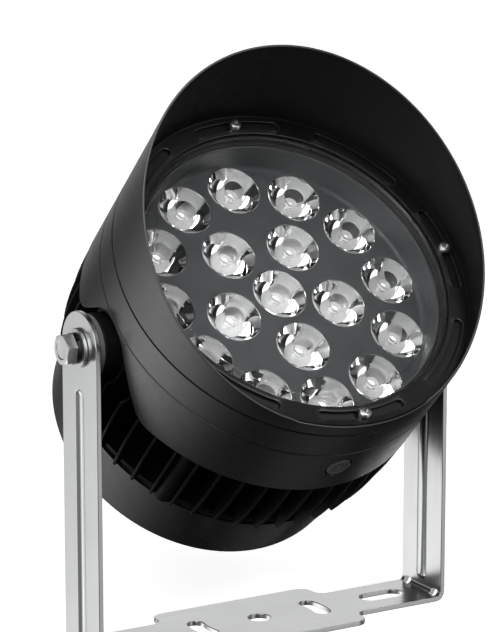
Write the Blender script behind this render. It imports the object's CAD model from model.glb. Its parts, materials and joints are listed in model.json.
import json
import math

import bpy
from mathutils import Matrix, Vector


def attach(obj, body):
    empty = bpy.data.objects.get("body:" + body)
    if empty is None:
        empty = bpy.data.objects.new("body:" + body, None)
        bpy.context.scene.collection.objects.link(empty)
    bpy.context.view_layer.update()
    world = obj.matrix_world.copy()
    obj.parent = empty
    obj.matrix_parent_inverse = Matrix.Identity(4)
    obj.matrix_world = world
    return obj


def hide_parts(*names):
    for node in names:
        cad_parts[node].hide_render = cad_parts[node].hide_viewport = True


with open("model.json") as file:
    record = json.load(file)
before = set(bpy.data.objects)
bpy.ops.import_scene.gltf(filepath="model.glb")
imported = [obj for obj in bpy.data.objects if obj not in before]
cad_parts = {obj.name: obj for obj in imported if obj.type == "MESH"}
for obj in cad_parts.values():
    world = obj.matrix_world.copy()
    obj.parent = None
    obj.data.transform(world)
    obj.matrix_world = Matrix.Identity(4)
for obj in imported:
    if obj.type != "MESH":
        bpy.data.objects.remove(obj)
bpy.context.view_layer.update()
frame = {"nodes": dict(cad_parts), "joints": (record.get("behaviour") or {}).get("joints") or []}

mm = 0.001
tiltJoint = next(joint for joint in frame["joints"] if joint["name"] == "head_tilt")
pivotPoint = Vector(tiltJoint["pos_m"])
lampTilt = math.radians(45)
# Lamp pieces are made with the beam along Z, then set on the pivot and tilted back
lampPlace = Matrix.Translation(pivotPoint) @ Matrix.Rotation(lampTilt, 4, "X")
# Lengths of the pieces are in mm, places and sizes of the studio in metres
seatGap = 0.3  # how far a piece lies from its seat
cutReach = 3.0  # how far a cutter passes through a piece
mergeGap = {"line": 0.002, "mesh": 0.004, "cut": 0.01}


# Small helpers for working as by hand

def deselectAll():
    if bpy.context.object and bpy.context.object.mode != "OBJECT":
        bpy.ops.object.mode_set(mode="OBJECT")
    bpy.ops.object.select_all(action="DESELECT")


def takeUp(piece):
    deselectAll()
    piece.select_set(True)
    bpy.context.view_layer.objects.active = piece


def editAll():
    bpy.ops.object.mode_set(mode="EDIT")
    bpy.ops.mesh.select_mode(type="VERT")
    bpy.ops.mesh.select_all(action="SELECT")


def pickPoints(piece, wanted):  # selects points by place and stays in edit mode
    takeUp(piece)
    editAll()
    bpy.ops.mesh.select_all(action="DESELECT")
    bpy.ops.object.mode_set(mode="OBJECT")
    for point in piece.data.vertices:
        point.select = wanted(point.co)
    bpy.ops.object.mode_set(mode="EDIT")


def polar(radius, degrees):
    angle = math.radians(degrees)
    return radius * math.cos(angle), radius * math.sin(angle)


def arcPoints(centre, radius, first, last, steps):
    points = []
    for step in range(steps + 1):
        x, y = polar(radius, first + (last - first) * step / steps)
        points.append((centre[0] + x, centre[1] + y))
    return points


def circle(radius, steps, centre=(0, 0)):
    return arcPoints(centre, radius, 0, 360, steps)[:-1]


def drawLine(name, points, shut=True):  # one point, extruded along the line; stays in edit mode
    deselectAll()
    bpy.ops.mesh.primitive_plane_add(size=2 * mm)
    piece = bpy.context.object
    piece.name = piece.data.name = name
    editAll()
    bpy.ops.mesh.merge(type="CENTER")
    route = [Vector(point) * mm for point in points]
    if shut:
        route.append(route[0])
    bpy.ops.transform.translate(value=route[0])
    for here, there in zip(route, route[1:]):
        bpy.ops.mesh.extrude_vertices_move(TRANSFORM_OT_translate={"value": there - here})
    bpy.ops.mesh.select_all(action="SELECT")
    bpy.ops.mesh.remove_doubles(threshold=mergeGap["line"] * mm)
    return piece


def tidyMesh():
    bpy.ops.mesh.select_all(action="SELECT")
    bpy.ops.mesh.remove_doubles(threshold=mergeGap["mesh"] * mm)
    bpy.ops.mesh.normals_make_consistent(inside=False)
    bpy.ops.object.mode_set(mode="OBJECT")


def turnedPiece(name, profile, steps, shut=True):  # a (radius, z) line spun about Z
    piece = drawLine(name, [(radius, 0, z) for radius, z in profile], shut)
    bpy.ops.mesh.spin(steps=steps, angle=math.tau, center=(0, 0, 0), axis=(0, 0, 1))
    tidyMesh()
    return piece


def pushedPiece(name, outline, low, high):  # an (x, y) outline filled and extruded along Z
    piece = drawLine(name, [(x, y, low) for x, y in outline])
    bpy.ops.mesh.edge_face_add()
    bpy.ops.mesh.extrude_region_move(TRANSFORM_OT_translate={"value": (0, 0, (high - low) * mm)})
    tidyMesh()
    return piece


def applyModifier(piece, kind, **values):
    takeUp(piece)
    modifier = piece.modifiers.new(kind.title(), kind)
    for key, value in values.items():
        setattr(modifier, key, value)
    bpy.ops.object.modifier_apply(modifier=modifier.name)


def bevelEdges(piece, width, segments=2, angle=30):
    applyModifier(
        piece, "BEVEL", width=width * mm, segments=segments, limit_method="ANGLE",
        angle_limit=math.radians(angle), use_clamp_overlap=False, miter_outer="MITER_ARC",
    )


def combine(piece, tools, operation="DIFFERENCE"):
    for tool in tools:
        applyModifier(piece, "BOOLEAN", operation=operation, solver="EXACT", object=tool)
        bpy.data.objects.remove(tool)
    takeUp(piece)
    editAll()
    bpy.ops.mesh.remove_doubles(threshold=mergeGap["cut"] * mm)
    bpy.ops.mesh.dissolve_degenerate(threshold=mergeGap["cut"] * mm)
    bpy.ops.object.mode_set(mode="OBJECT")


def place(piece, matrix):
    takeUp(piece)
    piece.matrix_world = matrix
    bpy.ops.object.transform_apply(location=True, rotation=True, scale=True)


def copyOf(piece, name, matrix):
    twin = piece.copy()
    twin.data = piece.data.copy()
    twin.name = twin.data.name = name
    bpy.context.scene.collection.objects.link(twin)
    place(twin, matrix)
    return twin


def shift(x=0.0, y=0.0, z=0.0):
    return Matrix.Translation(Vector((x, y, z)) * mm)


def turn(degrees, axis="Z"):
    return Matrix.Rotation(math.radians(degrees), 4, axis)


def turnsRound(count, first=0):
    return [turn(first + 360 * index / count) for index in range(count)]


def spotsRound(radius, count, first=0, z=0.0):
    corners = [polar(radius, first + 360 * index / count) for index in range(count)]
    return [shift(x, y, z) for x, y in corners]


def repeatPiece(piece, matrices):  # a copy at each place, and the first one goes
    twins = [copyOf(piece, piece.name, matrix) for matrix in matrices]
    bpy.data.objects.remove(piece)
    return twins


def joinAll(pieces, name):
    deselectAll()
    for piece in pieces:
        piece.select_set(True)
    bpy.context.view_layer.objects.active = pieces[0]
    bpy.ops.object.join()
    pieces[0].name = pieces[0].data.name = name
    return pieces[0]


def finishPiece(piece, finish, body, nodes=(), matrix=lampPlace, smooth=35):
    if matrix:
        place(piece, matrix)
    takeUp(piece)
    bpy.ops.object.shade_smooth_by_angle(angle=math.radians(smooth))
    applyModifier(piece, "WEIGHTED_NORMAL", weight=80, keep_sharp=True)
    piece.data.materials.clear()
    piece.data.materials.append(finish)
    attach(piece, body)
    if nodes:
        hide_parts(*nodes)
    return piece


# Finishes

def startFinish(name, metallic=0.0):
    finish = bpy.data.materials.new(name)
    finish.use_nodes = True
    shader = finish.node_tree.nodes["Principled BSDF"]
    shader.inputs["Metallic"].default_value = metallic
    return finish, shader


def addNoise(finish, scale, detail=3.0, stretch=(1, 1, 1)):
    nodes, links = finish.node_tree.nodes, finish.node_tree.links
    source = nodes.new("ShaderNodeTexCoord")
    mapping = nodes.new("ShaderNodeMapping")
    mapping.inputs["Scale"].default_value = stretch
    noise = nodes.new("ShaderNodeTexNoise")
    noise.inputs["Scale"].default_value = scale
    noise.inputs["Detail"].default_value = detail
    links.new(source.outputs["Object"], mapping.inputs["Vector"])
    links.new(mapping.outputs["Vector"], noise.inputs["Vector"])
    return noise.outputs["Fac"]


def rampTo(finish, factor, socket, first, last, low=0.3, high=0.7):
    nodes, links = finish.node_tree.nodes, finish.node_tree.links
    ramp = nodes.new("ShaderNodeValToRGB")
    ramp.color_ramp.elements[0].position = low
    ramp.color_ramp.elements[1].position = high
    for element, colour in zip(ramp.color_ramp.elements, (first, last)):
        grey = colour if hasattr(colour, "__len__") else (colour,) * 3
        element.color = (*grey, 1)
    links.new(factor, ramp.inputs["Fac"])
    links.new(ramp.outputs["Color"], socket)


def addBump(finish, shader, factor, strength, distance):
    nodes, links = finish.node_tree.nodes, finish.node_tree.links
    bump = nodes.new("ShaderNodeBump")
    bump.inputs["Strength"].default_value = strength
    bump.inputs["Distance"].default_value = distance * mm
    links.new(factor, bump.inputs["Height"])
    links.new(bump.outputs["Normal"], shader.inputs["Normal"])


wearBand = (0.53, 0.62)  # pointiness where paint starts to thin, and where it is thinnest
toneScale = {"paint": 45, "steel": 18, "moulded": 70, "clear": 30}
glossScale = {"paint": 160, "moulded": 220, "clear": 55}
bumpDepth = {"paint": 0.12, "steel": 0.03, "moulded": 0.08}


def wornEdges(finish, shader, settings, noise):  # paint a little lighter on sharp edges
    nodes, links = finish.node_tree.nodes, finish.node_tree.links
    shape = nodes.new("ShaderNodeNewGeometry")
    edge = nodes.new("ShaderNodeMapRange")
    edge.inputs["From Min"].default_value, edge.inputs["From Max"].default_value = wearBand
    mix = nodes.new("ShaderNodeMix")
    mix.data_type = "RGBA"
    links.new(shape.outputs["Pointiness"], edge.inputs["Value"])
    links.new(edge.outputs["Result"], mix.inputs["Factor"])
    rampTo(finish, noise, mix.inputs["A"], settings["dark"], settings["light"])
    mix.inputs["B"].default_value = (*settings["worn"], 1)
    links.new(mix.outputs["Result"], shader.inputs["Base Color"])


def paintFinish(name, settings):  # powder coat: fine orange peel, slight change in tone and gloss
    finish, shader = startFinish(name)
    shader.inputs["Specular IOR Level"].default_value = settings["shine"]
    wornEdges(finish, shader, settings, addNoise(finish, toneScale["paint"]))
    gloss = addNoise(finish, glossScale["paint"])
    rampTo(finish, gloss, shader.inputs["Roughness"], settings["roughLow"], settings["roughHigh"])
    grain = addNoise(finish, settings["grain"], detail=2.0)
    addBump(finish, shader, grain, settings["bump"], bumpDepth["paint"])
    return finish


def steelFinish(name, settings):  # metal with fine streaks along its strip or lathe marks
    finish, shader = startFinish(name, 1.0)
    streaks = addNoise(finish, 1.0, detail=4.0, stretch=settings["streak"])
    clouds = addNoise(finish, toneScale["steel"])
    rampTo(finish, clouds, shader.inputs["Base Color"], settings["dark"], settings["light"])
    rampTo(finish, streaks, shader.inputs["Roughness"], settings["roughLow"], settings["roughHigh"])
    addBump(finish, shader, streaks, settings["bump"], bumpDepth["steel"])
    return finish


def mouldedFinish(name, settings):  # plastic, rubber and board: mottled tone, satin grain
    finish, shader = startFinish(name, settings.get("metallic", 0.0))
    shader.inputs["Specular IOR Level"].default_value = settings.get("shine", 0.5)
    tone, gloss = addNoise(finish, toneScale["moulded"]), addNoise(finish, glossScale["moulded"])
    rampTo(finish, tone, shader.inputs["Base Color"], settings["dark"], settings["light"])
    rampTo(finish, gloss, shader.inputs["Roughness"], settings["roughLow"], settings["roughHigh"])
    grain = addNoise(finish, settings["grain"], detail=2.0)
    addBump(finish, shader, grain, settings["bump"], bumpDepth["moulded"])
    return finish


def clearFinish(name, settings):  # glass and optical plastic
    finish, shader = startFinish(name)
    shader.inputs["Transmission Weight"].default_value = 1.0
    shader.inputs["IOR"].default_value = settings["ior"]
    tone, gloss = addNoise(finish, toneScale["clear"]), addNoise(finish, glossScale["clear"])
    rampTo(finish, tone, shader.inputs["Base Color"], settings["dark"], settings["light"])
    rampTo(finish, gloss, shader.inputs["Roughness"], settings["roughLow"], settings["roughHigh"])
    return finish


shellFinish = paintFinish("shellPowderCoat", {
    "dark": (0.0055, 0.0056, 0.0060), "light": (0.0085, 0.0086, 0.0092), "worn": (0.010, 0.010, 0.0105),
    "roughLow": 0.27, "roughHigh": 0.32, "shine": 1.0, "grain": 900, "bump": 0.08,
})
hoodFinish = paintFinish("hoodPowderCoat", {
    "dark": (0.0022, 0.0022, 0.0020), "light": (0.0032, 0.0032, 0.0030), "worn": (0.085, 0.085, 0.085),
    "roughLow": 0.29, "roughHigh": 0.34, "shine": 0.85, "grain": 900, "bump": 0.10,
})
hoodInside = paintFinish("hoodDullCoat", {
    "dark": (0.0022, 0.0022, 0.0020), "light": (0.0034, 0.0034, 0.0031), "worn": (0.010, 0.010, 0.010),
    "roughLow": 0.55, "roughHigh": 0.65, "shine": 0.22, "grain": 900, "bump": 0.12,
})
finFinish = paintFinish("finPowderCoat", {
    "dark": (0.0022, 0.0022, 0.0024), "light": (0.0036, 0.0036, 0.0038), "worn": (0.007, 0.007, 0.0075),
    "roughLow": 0.46, "roughHigh": 0.56, "shine": 0.18, "grain": 800, "bump": 0.12,
})
coverFinish = paintFinish("coverPowderCoat", {
    "dark": (0.0045, 0.0046, 0.0050), "light": (0.0070, 0.0071, 0.0076), "worn": (0.014, 0.014, 0.0145),
    "roughLow": 0.26, "roughHigh": 0.32, "shine": 0.6, "grain": 900, "bump": 0.08,
})
bracketFinish = steelFinish("polishedStainless", {
    "dark": (0.70, 0.705, 0.71), "light": (0.76, 0.765, 0.77), "streak": (14, 700, 14),
    "roughLow": 0.21, "roughHigh": 0.27, "bump": 0.04,
})
boltFinish = steelFinish("turnedStainless", {
    "dark": (0.74, 0.745, 0.75), "light": (0.84, 0.845, 0.85), "streak": (900, 60, 60),
    "roughLow": 0.26, "roughHigh": 0.38, "bump": 0.10,
})
washerFinish = steelFinish("rolledStainless", {
    "dark": (0.70, 0.705, 0.71), "light": (0.80, 0.805, 0.81), "streak": (60, 500, 60),
    "roughLow": 0.34, "roughHigh": 0.46, "bump": 0.10,
})
springFinish = steelFinish("springSteel", {
    "dark": (0.05, 0.05, 0.052), "light": (0.09, 0.09, 0.093), "streak": (60, 400, 60),
    "roughLow": 0.28, "roughHigh": 0.42, "bump": 0.15,
})
screwFinish = steelFinish("screwSteel", {
    "dark": (0.58, 0.585, 0.59), "light": (0.72, 0.725, 0.73), "streak": (300, 300, 300),
    "roughLow": 0.22, "roughHigh": 0.34, "bump": 0.10,
})
holderFinish = mouldedFinish("greyHolder", {
    "dark": (0.040, 0.042, 0.044), "light": (0.050, 0.052, 0.054),
    "roughLow": 0.42, "roughHigh": 0.50, "grain": 1200, "bump": 0.15,
})
rubberFinish = mouldedFinish("siliconeRubber", {
    "dark": (0.012, 0.012, 0.012), "light": (0.020, 0.020, 0.020),
    "roughLow": 0.70, "roughHigh": 0.85, "grain": 700, "bump": 0.25,
})
fibreFinish = mouldedFinish("frictionFibre", {
    "dark": (0.05, 0.05, 0.05), "light": (0.10, 0.10, 0.098),
    "roughLow": 0.55, "roughHigh": 0.75, "grain": 600, "bump": 0.35,
})
nylonFinish = mouldedFinish("blackNylon", {
    "dark": (0.012, 0.012, 0.013), "light": (0.020, 0.020, 0.022),
    "roughLow": 0.38, "roughHigh": 0.52, "grain": 900, "bump": 0.20,
})
ventFinish = mouldedFinish("greyNylon", {
    "dark": (0.085, 0.085, 0.09), "light": (0.13, 0.13, 0.135),
    "roughLow": 0.35, "roughHigh": 0.5, "grain": 900, "bump": 0.20,
})
boardFinish = mouldedFinish("whiteSolderMask", {
    "dark": (0.70, 0.70, 0.70), "light": (0.80, 0.80, 0.80),
    "roughLow": 0.35, "roughHigh": 0.5, "grain": 900, "bump": 0.10,
})
driverFinish = mouldedFinish("pottedCase", {
    "dark": (0.28, 0.28, 0.29), "light": (0.38, 0.38, 0.39), "metallic": 0.5,
    "roughLow": 0.4, "roughHigh": 0.55, "grain": 500, "bump": 0.25,
})
glassFinish = clearFinish("clearGlass", {
    "dark": (0.975, 0.98, 0.98), "light": (0.99, 0.995, 0.995),
    "ior": 1.5, "roughLow": 0.0, "roughHigh": 0.02,
})
lensFinish = clearFinish("opticalPlastic", {
    "dark": (0.96, 0.965, 0.97), "light": (0.99, 0.99, 0.99),
    "ior": 1.49, "roughLow": 0.01, "roughHigh": 0.04,
})
print("finishes ready")


# Bracket: bent strip with pressed ribs, slots in the foot

bracket = {
    "innerX": 116.45, "thick": 3.0, "bend": 3.0, "legWidth": 42.2, "pivotHeight": 183.0,
    "footHalfLength": 55.0, "footHalfWidth": 37.0, "footCorner": 8.0, "neckCorner": 6.0,
    "ribWidth": 11.0, "ribDepth": 2.0, "ribLow": 8.0, "ribHigh": 159.0,
    "ribRound": 4.4, "ribSolid": 9.0, "ridgeSkin": 0.9,
    "holeRadius": 7.0, "arcRadius": 40.0, "arcWidth": 10.5, "arcHalfAngle": 20,
    "slotMiddle": 87.0, "slotLength": 30.0, "slotWidth": 14.0, "boltHole": 5.4,
    "reliefWidth": 6.0, "reliefMiddle": 14.5, "reliefHeight": 6.0, "edge": 0.45,
    "blankHalf": 42.0, "margin": 4.0, "crownExtra": 0.02,
}


def roundedCorners(corners, steps=6):  # (x, y, radius) corners, each with its arc
    outline = []
    for index, (x, y, radius) in enumerate(corners):
        if radius == 0:
            outline.append((x, y))
            continue
        corner = Vector((x, y))
        before = (Vector(corners[index - 1][:2]) - corner).normalized()
        after = (Vector(corners[(index + 1) % len(corners)][:2]) - corner).normalized()
        half = before.angle(after) / 2
        centre = corner + (before + after).normalized() * radius / math.sin(half)
        start = corner + before * radius / math.tan(half) - centre
        end = corner + after * radius / math.tan(half) - centre
        first = math.degrees(math.atan2(start.y, start.x))
        last = math.degrees(math.atan2(end.y, end.x))
        swing = math.remainder(last - first, 360)
        outline += arcPoints(centre, radius, first, first + swing, steps)
    return outline


def arcSlot(radius, width, halfAngle, steps=14):
    swing = halfAngle - math.degrees(math.asin(width / 2 / radius))
    outer = arcPoints((0, 0), radius + width / 2, -swing, swing, steps)
    far = arcPoints(polar(radius, swing), width / 2, swing, swing + 180, 10)
    inner = arcPoints((0, 0), radius - width / 2, swing, -swing, steps)
    near = arcPoints(polar(radius, -swing), width / 2, 180 - swing, 360 - swing, 10)
    return outer + far[1:-1] + inner + near[1:-1]


def pill(first, last, width, steps=12):
    right = arcPoints((last, 0), width / 2, -90, 90, steps)
    left = arcPoints((first, 0), width / 2, 90, 270, steps)
    return right + left


alongX = Matrix(((0, 0, 1, 0), (1, 0, 0, 0), (0, 1, 0, 0), (0, 0, 0, 1)))
alongY = Matrix(((1, 0, 0, 0), (0, 0, -1, 0), (0, 1, 0, 0), (0, 0, 0, 1)))
bothSides = (Matrix.Identity(4), turn(180))


def makeBracket(sizes):
    inner, thick, bend = sizes["innerX"], sizes["thick"], sizes["bend"]
    outer, half, pivot = inner + thick, sizes["legWidth"] / 2, sizes["pivotHeight"]
    high, margin, blank = pivot + sizes["legWidth"], sizes["margin"], sizes["blankHalf"]
    far = outer + margin
    section = roundedCorners((
        (-outer, high, 0), (-outer, 0, bend + thick), (outer, 0, bend + thick), (outer, high, 0),
        (inner, high, 0), (inner, thick, bend), (-inner, thick, bend), (-inner, high, 0),
    ), steps=8)
    strip = pushedPiece("bracketFrame", section, -blank, blank)
    place(strip, alongY)
    length, width = sizes["footHalfLength"], sizes["footHalfWidth"]
    corner, neck = sizes["footCorner"], sizes["neckCorner"]
    plan = pushedPiece("plan", roundedCorners((
        (-far, -half, 0), (-length, -half, neck), (-length, -width, corner), (length, -width, corner),
        (length, -half, neck), (far, -half, 0), (far, half, 0), (length, half, neck),
        (length, width, corner), (-length, width, corner), (-length, half, neck), (-far, half, 0),
    )), -margin, high + margin)
    crown = arcPoints((0, pivot), half + sizes["crownExtra"], 0, 180, 40)
    skirt = [(-blank, pivot), (-blank, -margin), (blank, -margin), (blank, pivot)]
    side = pushedPiece("side", crown + skirt, -far, far)
    place(side, alongX)
    combine(strip, [plan, side], "INTERSECT")
    pressRibs(strip, sizes)
    combine(strip, bracketHoles(sizes, inner - margin, far))
    bevelEdges(strip, sizes["edge"], segments=3, angle=40)
    return strip


def pressRibs(strip, sizes):  # a ridge inside and a groove outside, on both legs
    inner, outer = sizes["innerX"], sizes["innerX"] + sizes["thick"]
    low, high, solid = sizes["ribLow"], sizes["ribHigh"], sizes["ribSolid"]
    deselectAll()
    bpy.ops.mesh.primitive_cube_add(size=mm)
    rib = bpy.context.object
    place(rib, Matrix.Diagonal((solid, sizes["ribWidth"], high - low, 1)))
    bevelEdges(rib, sizes["ribRound"], segments=8)
    ridges, grooves = [], []
    for cutters, face in ((ridges, inner), (grooves, outer)):
        seat = shift(face - sizes["ribDepth"] + solid / 2, 0, (high + low) / 2)
        cutters.extend(copyOf(rib, "rib", half @ seat) for half in bothSides)
    bpy.data.objects.remove(rib)
    skin, reach = outer - sizes["ridgeSkin"], sizes["blankHalf"]
    blockLine = [(skin, -reach), (skin + reach, -reach), (skin + reach, reach), (skin, reach)]
    outside = pushedPiece("outside", blockLine, 0, sizes["pivotHeight"])  # keeps a ridge off the outer face
    for ridge, block in zip(ridges, repeatPiece(outside, bothSides)):
        combine(ridge, [block])
    combine(strip, ridges, "UNION")
    combine(strip, grooves)


def bracketHoles(sizes, innerEnd, far):
    low, top = -sizes["margin"], 2 * sizes["margin"]
    holes = [pushedPiece("hole", circle(sizes["holeRadius"], steps=40), low, top)]
    arcLine = arcSlot(sizes["arcRadius"], sizes["arcWidth"], sizes["arcHalfAngle"])
    straight = (sizes["slotLength"] - sizes["slotWidth"]) / 2
    slotLine = pill(sizes["slotMiddle"] - straight, sizes["slotMiddle"] + straight, sizes["slotWidth"])
    boltLine = circle(sizes["boltHole"], steps=32, centre=(0, sizes["pivotHeight"]))
    bolt = pushedPiece("bolt", boltLine, innerEnd, far)
    place(bolt, alongX)
    cutters = [pushedPiece("arc", arcLine, low, top), pushedPiece("slot", slotLine, low, top), bolt]
    bend, start = sizes["bend"], sizes["innerX"] - sizes["bend"]
    reliefLine = roundedCorners((
        (start, low, 0), (far, low, 0), (far, sizes["reliefHeight"], 0),
        (start, sizes["reliefHeight"], bend),
    ))
    for middle in (-sizes["reliefMiddle"], sizes["reliefMiddle"]):
        edge = middle - sizes["reliefWidth"] / 2
        relief = pushedPiece("relief", reliefLine, edge, edge + sizes["reliefWidth"])
        place(relief, alongY)
        cutters.append(relief)
    for cutter in cutters:
        holes += repeatPiece(cutter, bothSides)
    return holes


finishPiece(makeBracket(bracket), bracketFinish, "bracket", ["bracket"], None)
print("bracket made")


# Visor: a slotted flange and a wall cut off on the slant

visor = {
    "radius": 109.2, "wall": 1.5, "skirtZ": 51.3, "flangeInner": 95.0,
    "flangeRearZ": 57.8, "flangeFrontZ": 59.8, "blankZ": 140.0,
    "rimMiddleZ": 91.5, "rimSlope": 17.53, "rimLip": 0.3, "screws": 4, "slots": 8, "slotCircle": 101.0,
    "slotWidth": 5.2, "slotHalfAngle": 16, "steps": 144, "edge": 0.55, "overhang": 10.0, "inward": -0.07,
}


def makeVisor(sizes):
    outer, inner, top = sizes["radius"], sizes["radius"] - sizes["wall"], sizes["blankZ"]
    rear, front, lip = sizes["flangeRearZ"], sizes["flangeFrontZ"], sizes["flangeInner"]
    hood = turnedPiece("visorHood", (
        (inner, sizes["skirtZ"]), (outer, sizes["skirtZ"]), (outer, top), (inner, top),
        (inner, front), (lip, front), (lip, rear), (inner, rear),
    ), sizes["steps"])
    slope, middle = math.tan(math.radians(sizes["rimSlope"])), sizes["rimMiddleZ"]
    lowest, reach, above = front + sizes["rimLip"], outer + sizes["overhang"], top + sizes["overhang"]
    slant = pushedPiece("slantCutter", (
        (-reach, lowest), ((lowest - middle) / slope, lowest),
        (reach, middle + reach * slope), (reach, above), (-reach, above),
    ), -reach, reach)
    place(slant, alongX)
    slotLine = arcSlot(sizes["slotCircle"], sizes["slotWidth"], sizes["slotHalfAngle"])
    slot = pushedPiece("slotCutter", slotLine, rear - cutReach, front + cutReach)
    combine(hood, [slant] + repeatPiece(slot, turnsRound(sizes["slots"])))
    bevelEdges(hood, sizes["edge"], angle=40)
    return hood


hood = finishPiece(makeVisor(visor), hoodFinish, "visor", ["visor"])
hood.data.materials.append(hoodInside)
toLamp = lampPlace.inverted()
for face in hood.data.polygons:  # the inside of the wall is coated dull
    centre, facing = toLamp @ face.center, toLamp.to_3x3() @ face.normal
    if centre.x * facing.x + centre.y * facing.y < visor["inward"]:
        face.material_index = 1
print("visor made")


# Bezel and shell round the light chamber

housing = {
    "radius": 109.2, "bore": 103.5, "steps": 144,
    "bezelRearZ": 30.1, "bezelStepZ": 51.0, "bezelFrontZ": 57.5, "registerRadius": 107.4,
    "lipRadius": 94.0, "lipRearZ": 54.4, "pocketRadius": 96.8, "shoulderZ": 47.5,
    "shellRearZ": -7.0, "shellFrontZ": 29.8, "edge": 0.6,
    "frontGroove": 0.8, "rearGroove": 0.5, "grooveDepth": 0.8, "grooveEdge": 0.22,
    "notchReach": 26.0, "notchOffset": -5.0, "notchTop": 22.5, "notchMouth": 20.0,
    "notchUpper": 1.54, "upperSlope": 0.664, "notchInner": 60.0, "notchStart": 0.5,
    "ventZ": 15.0, "ventHole": 8.1, "ventInner": 90.0, "ventOuter": 112.0,
}


def makeBezel(sizes):
    outer, bore, lip = sizes["radius"], sizes["bore"], sizes["lipRadius"]
    grooved, register = outer - sizes["grooveDepth"], sizes["registerRadius"]
    rear, step, front = sizes["bezelRearZ"], sizes["bezelStepZ"], sizes["bezelFrontZ"]
    rearGroove, frontGroove = rear + sizes["rearGroove"], step - sizes["frontGroove"]
    ring = turnedPiece("bezelRing", (
        (bore, rear), (grooved, rear), (grooved, rearGroove), (outer, rearGroove),
        (outer, frontGroove), (grooved, frontGroove), (grooved, step), (register, step),
        (register, front), (lip, front), (lip, sizes["lipRearZ"]),
        (sizes["pocketRadius"], sizes["lipRearZ"]), (sizes["pocketRadius"], sizes["shoulderZ"]),
        (bore, sizes["shoulderZ"]),
    ), sizes["steps"])
    bevelEdges(ring, sizes["grooveEdge"])
    return ring


def makeShell(sizes):
    rear, front, bore, outer = sizes["shellRearZ"], sizes["shellFrontZ"], sizes["bore"], sizes["radius"]
    ring = turnedPiece("shellRing", (
        (bore, rear), (outer, rear), (outer, front), (bore, front),
    ), sizes["steps"])
    apex, mouth = sizes["notchReach"] * math.sqrt(2), rear - sizes["notchStart"]
    offset, slope, upper = sizes["notchOffset"], sizes["upperSlope"], sizes["notchUpper"]
    left, right, below = offset - outer, offset + outer, mouth - cutReach
    spread, rise = apex - mouth, (upper - offset) / (1 + slope)  # the two flanks meet at the rise
    notchLine = roundedCorners((
        (left, mouth, 0), (left, below, 0), (right, below, 0), (right, mouth, 0),
        (upper + spread * slope, mouth, sizes["notchMouth"]),
        (offset + rise, apex + rise, sizes["notchTop"]),
        (offset - spread, mouth, sizes["notchMouth"]),
    ), steps=12)
    inner, end = sizes["notchInner"], outer + cutReach
    notch = pushedPiece("notch", notchLine, inner, end)
    notches = repeatPiece(notch, (alongX, shift(-inner - end) @ alongX))
    ventLine = circle(sizes["ventHole"], steps=40)
    vent = pushedPiece("ventHole", ventLine, sizes["ventInner"], sizes["ventOuter"])
    place(vent, shift(z=sizes["ventZ"]) @ turn(90, "X"))
    combine(ring, notches + [vent])
    bevelEdges(ring, sizes["edge"], segments=3)
    return ring


finishPiece(makeBezel(housing), shellFinish, "head", ["front_bezel"])
finishPiece(makeShell(housing), shellFinish, "head", ["housing_shell"])
print("housing made")


# Heat sink: light chamber, hub and radial fins

sink = {
    "chamberInner": 92.5, "chamberOuter": 103.2, "chamberFrontZ": 47.2,
    "plateFrontZ": 12.0, "plateRearZ": 5.0, "hub": 46.0, "bore": 42.0, "rearZ": -59.6,
    "discThick": 3.1, "discRadius": 98.5, "steps": 96, "edge": 0.4,
    "fins": 48, "tipRadius": 108.9, "coveredTip": 102.9, "stepZ": -7.3, "finFrontZ": 8.5,
    "tipThick": 2.0, "rootSpread": 1.52, "rootSink": 2.0,
    "drop": 5.0, "dropPower": 2.4, "tipSteps": 8, "finEdge": 0.55,
    "screwCircle": 85.0, "bosses": 4, "bossTurn": 45, "bossRadius": 6.5, "bossInset": 0.5, "bossEdge": 0.5,
    "pivotBoss": 19.0, "pivotRoot": 92.8, "pivotFace": 112.0, "pivotEdge": 0.8,
}


def makeFin(sizes):
    rear, step, covered = sizes["rearZ"] + seatGap, sizes["stepZ"], sizes["coveredTip"]
    tips = []
    for index in range(sizes["tipSteps"] + 1):
        share = 1 - index / sizes["tipSteps"]
        drop = sizes["drop"] * share ** sizes["dropPower"]
        tips.append((sizes["tipRadius"] - drop, step + (rear - step) * share))
    root, front = sizes["hub"] - sizes["rootSink"], sizes["finFrontZ"]
    outline = [(root, rear)] + tips + [(covered, step), (covered, front), (root, front)]
    fin = drawLine("fin", [(radius, 0, z) for radius, z in outline])
    bpy.ops.mesh.edge_face_add()
    thick = sizes["tipThick"] * mm
    bpy.ops.transform.translate(value=(0, -thick / 2, 0))
    bpy.ops.mesh.extrude_region_move(TRANSFORM_OT_translate={"value": (0, thick, 0)})
    tidyMesh()
    pickPoints(fin, lambda point: point.x < (root + 1) * mm)  # draft: thicker towards the hub
    bpy.ops.transform.resize(value=(1, sizes["rootSpread"], 1), center_override=(0, 0, 0))
    bpy.ops.object.mode_set(mode="OBJECT")
    bevelEdges(fin, sizes["finEdge"], angle=60)
    return fin


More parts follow.
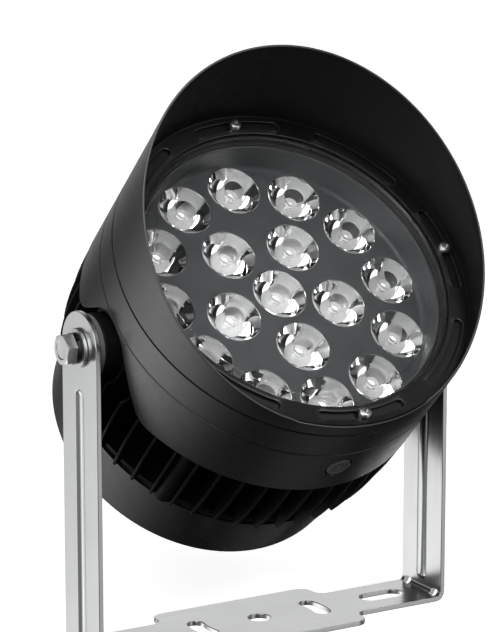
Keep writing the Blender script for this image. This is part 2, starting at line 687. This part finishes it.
def makeSink(sizes):
    inner, outer, hub, bore = sizes["chamberInner"], sizes["chamberOuter"], sizes["hub"], sizes["bore"]
    front, rear, disc = sizes["plateFrontZ"], sizes["plateRearZ"], sizes["discRadius"]
    end, step = sizes["rearZ"], sizes["rearZ"] + sizes["discThick"]
    core = turnedPiece("coolingFins", (
        (0, front), (inner, front), (inner, sizes["chamberFrontZ"]), (outer, sizes["chamberFrontZ"]),
        (outer, rear), (hub, rear), (hub, step), (disc, step), (disc, end),
        (bore, end), (bore, rear), (0, rear),
    ), sizes["steps"], shut=False)
    bevelEdges(core, sizes["edge"])
    fins = repeatPiece(makeFin(sizes), turnsRound(sizes["fins"], 180 / sizes["fins"]))
    bossLine = pill(sizes["screwCircle"], disc - sizes["bossInset"], 2 * sizes["bossRadius"], steps=8)
    boss = pushedPiece("screwBoss", bossLine, end + seatGap, sizes["stepZ"])
    bevelEdges(boss, sizes["bossEdge"])
    bosses = repeatPiece(boss, turnsRound(sizes["bosses"], sizes["bossTurn"]))
    radius, root, face = sizes["pivotBoss"], sizes["pivotRoot"], sizes["pivotFace"]
    pivotBoss = turnedPiece("pivotBoss", (
        (0, root), (radius, root), (radius, face), (0, face),
    ), steps=64, shut=False)
    bevelEdges(pivotBoss, sizes["pivotEdge"], segments=3)
    place(pivotBoss, alongX)
    return joinAll([core] + fins + bosses + repeatPiece(pivotBoss, bothSides), "coolingFins")


finishPiece(makeSink(sink), finFinish, "head", ["heat_sink"])
print("heat sink made")


# Rear cover with its screws and cable gland

cover = {
    "frontZ": -61.2, "rearZ": -105.5, "frontRadius": 100.0, "rearRadius": 94.4, "corner": 4.0,
    "wall": 3.2, "rimInner": 93.5, "rimDepth": 3.5, "shoulder": 96.0, "steps": 128, "edge": 0.5,
    "screwCircle": 85.0, "screws": 4, "screwTurn": 45, "headHole": 4.5, "holeDepth": 5.0, "glandHole": 8.3,
}


def makeCover(sizes):
    front, rear, corner, wall = sizes["frontZ"], sizes["rearZ"], sizes["corner"], sizes["wall"]
    bend = arcPoints((sizes["rearRadius"] - corner, rear + corner), corner, 0, -90, 8)
    rim, rimRear, hollow = sizes["rimInner"], front - sizes["rimDepth"], sizes["rearRadius"] - wall
    shell = turnedPiece("rearCover", [(rim, front), (sizes["frontRadius"], front)] + bend + [
        (0, rear), (0, rear + wall), (hollow - corner, rear + wall), (hollow, rear + wall + corner),
        (sizes["shoulder"], rimRear - wall), (rim, rimRear),
    ], sizes["steps"])
    low = rear - cutReach
    bore = pushedPiece("bore", circle(sizes["headHole"], steps=28), low, rear + sizes["holeDepth"])
    cutters = repeatPiece(bore, spotsRound(sizes["screwCircle"], sizes["screws"], sizes["screwTurn"]))
    cutters.append(pushedPiece("bore", circle(sizes["glandHole"], steps=40), low, rear + wall + cutReach))
    combine(shell, cutters)
    bevelEdges(shell, sizes["edge"], angle=40)
    return shell


finishPiece(makeCover(cover), coverFinish, "head", ["rear_cap"])


screws = {
    "headRadius": 4.0, "headHeight": 2.8, "shank": 2.0, "length": 8.0,
    "drive": 1.5, "driveDepth": 1.4, "edge": 0.12, "twist": 23,
}
capScrews = {
    "headRadius": 4.2, "headHeight": 4.0, "shank": 2.4, "length": 12.0,
    "drive": 1.9, "driveDepth": 2.2, "edge": 0.12, "twist": 23,
}
crownShares = ((1.0, 0.45), (0.96, 0.68), (0.84, 0.88), (0.66, 1.0))  # of a head's radius and height


def makeScrew(name, sizes):
    head, high, shank, end = sizes["headRadius"], sizes["headHeight"], sizes["shank"], -sizes["length"]
    crown = [(head * wide, high * tall) for wide, tall in crownShares]
    profile = [(0, end), (shank, end), (shank, 0), (head, 0)] + crown + [(0, high)]
    screw = turnedPiece(name, profile, steps=32, shut=False)
    drive = pushedPiece("drive", circle(sizes["drive"], steps=6), high - sizes["driveDepth"], high + cutReach)
    combine(screw, [drive])
    bevelEdges(screw, sizes["edge"], segments=1, angle=50)
    return screw


def layScrews(name, sizes, seats, finish, node):
    screw = makeScrew(name, sizes)
    for number, seat in enumerate(seats, 1):
        twin = copyOf(screw, f"{name}{number}", seat @ turn(sizes["twist"] * number))
        finishPiece(twin, finish, "head", [f"{node}_{number}"])
    bpy.data.objects.remove(screw)


hoodSeats = spotsRound(visor["slotCircle"], visor["screws"], z=visor["flangeFrontZ"] + seatGap)
layScrews("hoodScrew", screws, hoodSeats, screwFinish, "visor_screw")
capSeat = cover["rearZ"] + cover["holeDepth"] - seatGap
coverSeats = spotsRound(cover["screwCircle"], cover["screws"], cover["screwTurn"], capSeat)
coverSeats = [seat @ turn(180, "X") for seat in coverSeats]
layScrews("coverScrew", capScrews, coverSeats, screwFinish, "rear_cap_screw")

gland = {
    "seatZ": -105.8, "bodyRadius": 12.0, "bodyLength": 6.0, "nutRadius": 10.5, "nutLength": 12.0,
    "thread": 8.0, "bore": 4.0, "inside": 8.3, "overlap": 1.0, "dome": 5.0,
    "mouthWidth": 1.2, "mouthDepth": 1.5, "nutEdge": 0.7, "edge": 0.2,
    "flutes": 16, "fluteRadius": 0.9, "fluteOut": 0.35, "fluteRear": 4.5, "fluteFront": 0.8,
}


def makeGland(sizes):
    seat, nutTop = sizes["seatZ"], sizes["seatZ"] - sizes["bodyLength"]
    end, bore, nut, thread = nutTop - sizes["nutLength"], sizes["bore"], sizes["nutRadius"], sizes["thread"]
    top, join, dome = seat + sizes["inside"], seat - sizes["overlap"], sizes["dome"]
    crown = arcPoints((nut - dome, end + dome), dome, 0, -90, 8)
    body = turnedPiece("glandBody", [
        (bore, top), (thread, top), (thread, join), (nut, join), (nut, nutTop)] + crown + [
        (bore + sizes["mouthWidth"], end), (bore, end + sizes["mouthDepth"])], steps=64)
    deselectAll()
    bpy.ops.mesh.primitive_cylinder_add(
        vertices=6, radius=sizes["bodyRadius"] * mm, depth=sizes["bodyLength"] * mm)
    nutBody = bpy.context.object
    place(nutBody, shift(z=seat - sizes["bodyLength"] / 2))
    holeLine = circle(thread - sizes["overlap"], steps=32)
    hole = pushedPiece("hole", holeLine, nutTop - cutReach, seat + cutReach)
    combine(nutBody, [hole])
    bevelEdges(nutBody, sizes["nutEdge"])
    fluteLine = circle(sizes["fluteRadius"], steps=12, centre=(nut + sizes["fluteOut"], 0))
    flute = pushedPiece("flute", fluteLine, end + sizes["fluteRear"], nutTop - sizes["fluteFront"])
    combine(body, repeatPiece(flute, turnsRound(sizes["flutes"])))
    bevelEdges(body, sizes["edge"], segments=1, angle=50)
    return joinAll([body, nutBody], "cableGland")


finishPiece(makeGland(gland), nylonFinish, "head", ["cable_gland"])
print("rear cover made")


# Breather vent under the shell

vent = {
    "z": 15.0, "inner": 93.0, "seat": 103.8, "stem": 4.0, "head": 7.5, "height": 5.6,
    "corner": 1.6, "rim": 2.6, "dish": 0.5, "dishSlope": 0.4, "edge": 0.15,
    "flutes": 14, "fluteRadius": 0.7, "fluteOut": 0.25, "fluteRear": 1.0, "fluteFront": 1.4,
    "slots": (-1.6, 0, 1.6), "slotHalf": 2.4, "slotWidth": 0.7, "slotDepth": 1.3,
}


def makeVent(sizes):
    seat, high, head = sizes["seat"], sizes["seat"] + sizes["height"], sizes["head"]
    stem, inner, corner, floorZ = sizes["stem"], sizes["inner"], sizes["corner"], high - sizes["dish"]
    crown = arcPoints((head - corner, high - corner), corner, 0, 90, 5)
    lip = head - sizes["rim"]
    plug = turnedPiece("ventPlug", [(0, inner), (stem, inner), (stem, seat), (head, seat)] + crown + [
        (lip, high), (lip - sizes["dishSlope"], floorZ), (0, floorZ)], steps=56, shut=False)
    fluteLine = circle(sizes["fluteRadius"], steps=10, centre=(head + sizes["fluteOut"], 0))
    flute = pushedPiece("flute", fluteLine, seat - sizes["fluteRear"], high - sizes["fluteFront"])
    cutters = repeatPiece(flute, turnsRound(sizes["flutes"]))
    slotLine = pill(-sizes["slotHalf"], sizes["slotHalf"], sizes["slotWidth"], steps=6)
    slot = pushedPiece("slot", slotLine, high - sizes["slotDepth"], high + cutReach)
    cutters += repeatPiece(slot, [shift(y=offset) for offset in sizes["slots"]])
    combine(plug, cutters)
    bevelEdges(plug, sizes["edge"], segments=1, angle=50)
    return plug


ventPlace = lampPlace @ shift(z=vent["z"]) @ turn(90, "X")
finishPiece(makeVent(vent), ventFinish, "head", ["breather_vent"], ventPlace)
print("vent made")


# Front glass with its stepped edge, lens holder and lenses

optics = {
    "glassRadius": 96.5, "glassRearZ": 50.1, "glassFrontZ": 54.1,
    "stepRadius": 85.0, "glassStep": 0.06, "glassEdge": 0.15,
    "holderRadius": 92.2, "holderRearZ": 27.5, "holderFrontZ": 30.5, "skirtInner": 90.3,
    "skirtRearZ": 12.3, "collarZ": 49.6, "collarInner": 90.8, "fillet": 3.0, "holderEdge": 0.35,
    "holeRearZ": 20.0, "holeFrontZ": 40.0,
    "pitch": 37.05, "rings": ((0, 1, 0), (1, 5, -90), (2, 12, 0)),  # ring, lenses in it, first angle
}
lens = {
    "radius": 16.25, "foot": 15.2, "top": 31.0, "footRadius": 8.5, "flangeZ": 29.6, "flangeStep": 0.2,
    "curve": 0.9, "sideSteps": 8, "rim": 0.3, "steps": 48,
    "well": 6.0, "wellFloor": 24.0, "wellFloorRadius": 4.8, "wellDome": 2.2,
    "backWell": 3.6, "backDepth": 4.4, "backDome": 0.9,
}
lensSpots = []
for ring, count, first in optics["rings"]:
    lensSpots += spotsRound(optics["pitch"] * ring, count, first)


def makeHolder(sizes):
    rear, front, fillet = sizes["holderRearZ"], sizes["holderFrontZ"], sizes["fillet"]
    outer, skirt, collar = sizes["holderRadius"], sizes["skirtInner"], sizes["collarInner"]
    bend = arcPoints((collar - fillet, front + fillet), fillet, 0, -90, 5)
    plate = turnedPiece("lensHolder", [
        (0, rear), (skirt, rear), (skirt, sizes["skirtRearZ"]), (outer, sizes["skirtRearZ"]),
        (outer, sizes["collarZ"]), (collar, sizes["collarZ"])] + bend + [(0, front)], steps=96, shut=False)
    holeLine = circle(lens["radius"] + seatGap, steps=48)
    hole = pushedPiece("hole", holeLine, sizes["holeRearZ"], sizes["holeFrontZ"])
    combine(plate, repeatPiece(hole, lensSpots))
    bevelEdges(plate, sizes["holderEdge"], angle=50)
    return plate


def domeLine(radius, z, height, angles):
    return [(x * radius, z + y * height) for x, y in (polar(1, angle) for angle in angles)]


def makeLens(sizes):
    foot, top, radius = sizes["foot"], sizes["top"], sizes["radius"]
    flange, well, rim = sizes["flangeZ"], sizes["well"], sizes["rim"]
    start, widest = sizes["footRadius"], radius - sizes["flangeStep"]
    side = []
    for index in range(sizes["sideSteps"] + 1):  # a curved side that turns the light forward
        share = index / sizes["sideSteps"]
        side.append((start + (widest - start) * share ** sizes["curve"], foot + (flange - foot) * share))
    back, backTop = sizes["backWell"], foot + sizes["backDepth"]
    return turnedPiece("lens", domeLine(back, backTop, sizes["backDome"], (-90, -60, -30)) + [
        (back, backTop), (back, foot)] + side + [
        (radius, flange), (radius, top - rim), (radius - rim, top), (well + rim, top), (well, top - rim),
    ] + domeLine(sizes["wellFloorRadius"], sizes["wellFloor"], sizes["wellDome"], (0, 22, 45, 68, 90)),
        sizes["steps"], shut=False)


finishPiece(makeHolder(optics), holderFinish, "head", ["lens_holder"])
edgeZ = optics["glassFrontZ"] - optics["glassStep"]
pane = turnedPiece("frontGlass", (
    (0, optics["glassRearZ"]), (optics["glassRadius"], optics["glassRearZ"]),
    (optics["glassRadius"], edgeZ), (optics["stepRadius"] + optics["glassStep"], edgeZ),
    (optics["stepRadius"], optics["glassFrontZ"]), (0, optics["glassFrontZ"]),
), steps=128, shut=False)
bevelEdges(pane, optics["glassEdge"], segments=1)
pane.visible_shadow = False
finishPiece(pane, glassFinish, "head", ["front_glass"])
lensMaster = makeLens(lens)
for number, where in enumerate(lensSpots, 1):
    twin = copyOf(lensMaster, f"lens{number:02d}", where)
    twin.visible_shadow = False
    finishPiece(twin, lensFinish, "head", [f"lens_{number:02d}"], smooth=40)
bpy.data.objects.remove(lensMaster)
print("glass and lenses made")


# Pivot hardware, made for the right side and turned round for the left

hardware = {
    "disc": (112.3, 116.15, 19.0, 5.4, 0.4),  # low, high, outer and inner radius, edge
    "plain": (119.75, 121.75, 11.5, 5.4, 0.25), "spring": (122.05, 124.25, 9.0, 5.4, 0.25),
    "split": 1.6, "splitReach": 12.0, "splitLow": 118.0, "splitHigh": 128.0,
    "headZ": 124.55, "headHeight": 6.4, "acrossFlats": 17.0,
    "crown": 8.1, "crownAngle": 30, "crownReach": 2.0,
    "dishFloor": 5.2, "dishMouth": 6.4, "dishDepth": 0.5, "dishRise": 1.0,
    "shank": 5.0, "shankEnd": 4.2, "endX": 95.0, "endStep": 1.0, "overlap": 1.0, "edge": 0.2,
}


def makeRing(name):
    low, high, outer, inner, edge = hardware[name]
    ring = turnedPiece(name, ((inner, low), (outer, low), (outer, high), (inner, high)), steps=64)
    bevelEdges(ring, edge)
    return ring


def makeBolt(sizes):
    low, high = sizes["headZ"], sizes["headZ"] + sizes["headHeight"]
    across, crownRadius = sizes["acrossFlats"] / math.sqrt(3), sizes["crown"]
    slope, wide = math.tan(math.radians(sizes["crownAngle"])), across + sizes["crownReach"]
    bolt = pushedPiece("pivotBolt", circle(across, steps=6), low, high)
    crown = turnedPiece("crown", (
        (0, low - cutReach), (wide, low - cutReach), (wide, high - (wide - crownRadius) * slope),
        (crownRadius - seatGap / slope, high + seatGap), (0, high + seatGap),
    ), steps=72, shut=False)
    combine(bolt, [crown], "INTERSECT")
    floorZ, mouthZ = high - sizes["dishDepth"], high + sizes["dishRise"]
    dish = turnedPiece("dish", (
        (0, floorZ), (sizes["dishFloor"], floorZ), (sizes["dishMouth"], mouthZ), (0, mouthZ),
    ), steps=48, shut=False)
    combine(bolt, [dish])
    radius, end, inside = sizes["shank"], sizes["endX"], low + sizes["overlap"]
    shank = turnedPiece("shank", (
        (0, end), (sizes["shankEnd"], end), (radius, end + sizes["endStep"]), (radius, inside), (0, inside),
    ), steps=32, shut=False)
    combine(bolt, [shank], "UNION")
    bevelEdges(bolt, sizes["edge"], angle=40)
    return bolt


def layHardware(name, piece, finish, node):
    place(piece, alongX)
    for side, matrix in zip(("Right", "Left"), bothSides):
        twin = copyOf(piece, name + side, matrix)
        finishPiece(twin, finish, "head", [f"{node}_{side.lower()}"])
    bpy.data.objects.remove(piece)


layHardware("frictionDisc", makeRing("disc"), fibreFinish, "friction_disc")
layHardware("plainWasher", makeRing("plain"), washerFinish, "plain_washer")
springRing = makeRing("spring")
split, reach = hardware["split"] / 2, hardware["splitReach"]
splitLine = [(-split, 0), (split, 0), (split, reach), (-split, reach)]
combine(springRing, [pushedPiece("gap", splitLine, hardware["splitLow"], hardware["splitHigh"])])
layHardware("springWasher", springRing, springFinish, "spring_washer")
layHardware("pivotBolt", makeBolt(hardware), boltFinish, "pivot_bolt")
print("pivot hardware made")


# CAD pieces that stay as they are get their finish

carried = {
    "glass_gasket": (rubberFinish, "black_rubber"), "rear_gasket": (rubberFinish, "black_rubber"),
    "led_board": (boardFinish, "board_white"), "driver": (driverFinish, "driver_grey"),
}
for name, (finish, slot) in carried.items():
    node = frame["nodes"][name]
    node.data.materials.clear()
    node.data.materials.append(finish)
print("carried pieces finished")


# Floor, light and camera

floor = {"size": 14.0, "colour": (0.90, 0.90, 0.90), "rough": 0.9, "glow": 0.80}
deselectAll()
bpy.ops.mesh.primitive_plane_add(size=floor["size"])
ground = bpy.context.object
ground.name = "floor"
floorFinish, floorShader = startFinish("paleFloor")
floorShader.inputs["Base Color"].default_value = (*floor["colour"], 1)
floorShader.inputs["Roughness"].default_value = floor["rough"]
floorShader.inputs["Emission Color"].default_value = (1, 1, 1, 1)
floorShader.inputs["Emission Strength"].default_value = floor["glow"]
ground.data.materials.append(floorFinish)
ground.visible_glossy = False
ground.visible_diffuse = False
ground.visible_transmission = False

studio = {
    "base": 0.007, "backdrop": 1.0,
    "glows": (  # direction, strength, narrowness
        ((-0.64, 0.60, -0.48), 1.75, 10.0),
        ((0.50, 0.84, 0.22), 0.84, 8.0),
        ((0.25, 0.10, -0.96), 0.17, 24.0),
        ((0.50, -0.84, -0.22), 0.50, 20.0),
        ((-0.90, -0.30, 0.30), 0.35, 6.0),
        ((0.30, -0.62, 0.73), 6.00, 60.0),
        ((-0.35, -0.15, 0.90), 1.10, 30.0),
        ((0.60, -0.75, 0.28), 1.20, 40.0),
        ((1.00, 0.10, 0.12), 0.70, 14.0),
        ((-0.70, -0.68, -0.20), 0.16, 14.0),
        ((0.56, -0.54, -0.50), 0.20, 14.0),
    ),
}
world = bpy.data.worlds.new("studio")
bpy.context.scene.world = world
world.use_nodes = True
nodes, links = world.node_tree.nodes, world.node_tree.links
background = nodes["Background"]
direction = nodes.new("ShaderNodeTexCoord")
total = None
for heading, strength, power in studio["glows"]:
    dot = nodes.new("ShaderNodeVectorMath")
    dot.operation = "DOT_PRODUCT"
    dot.inputs[1].default_value = Vector(heading).normalized()
    links.new(direction.outputs["Generated"], dot.inputs[0])
    last = dot.outputs["Value"]
    for operation, value in (("MAXIMUM", 0.0), ("POWER", power), ("MULTIPLY", strength)):
        step = nodes.new("ShaderNodeMath")
        step.operation = operation
        step.inputs[1].default_value = value
        links.new(last, step.inputs[0])
        last = step.outputs["Value"]
    add = nodes.new("ShaderNodeMath")
    add.operation = "ADD"
    links.new(last, add.inputs[0])
    if total:
        links.new(total, add.inputs[1])
    else:
        add.inputs[1].default_value = studio["base"]
    total = add.outputs["Value"]
sight = nodes.new("ShaderNodeLightPath")
pick = nodes.new("ShaderNodeMix")
pick.data_type = "FLOAT"
links.new(sight.outputs["Is Camera Ray"], pick.inputs["Factor"])
links.new(total, pick.inputs["A"])
pick.inputs["B"].default_value = studio["backdrop"]
background.inputs["Color"].default_value = (1, 1, 1, 1)
links.new(pick.outputs["Result"], background.inputs["Strength"])

studioLights = (  # name, place, size, power
    ("keyLight", (-1.35, -1.40, 1.12), 1.9, 22),
    ("nearLight", (-0.18, -0.12, 0.37), 0.14, 0.55),
)
aim = Vector((0, 0, 0.18))
for name, origin, size, power in studioLights:
    data = bpy.data.lights.new(name, "AREA")
    data.size = size
    data.energy = power
    light = bpy.data.objects.new(name, data)
    light.location = origin
    light.visible_camera = False
    light.visible_glossy = name != "nearLight"  # or it would show as a spot on the shell
    light.rotation_mode = "QUATERNION"
    light.rotation_quaternion = (aim - Vector(origin)).to_track_quat("-Z", "Y")
    bpy.context.scene.collection.objects.link(light)

camera = {
    "azimuth": -30.63, "elevation": 12.50, "place": (-0.9016, -1.5116, 0.5782),
    "lens": 175.1, "sensor": 36, "farthest": 50,
}
cameraData = bpy.data.cameras.new("photoCamera")
cameraData.sensor_width = camera["sensor"]
cameraData.lens = camera["lens"]
cameraData.clip_end = camera["farthest"]
eye = bpy.data.objects.new("photoCamera", cameraData)
eye.location = camera["place"]
eye.rotation_euler = (math.radians(90 - camera["elevation"]), 0, math.radians(camera["azimuth"]))
bpy.context.scene.collection.objects.link(eye)
bpy.context.scene.camera = eye
bpy.context.scene.view_settings.view_transform = "Standard"
print("studio ready")
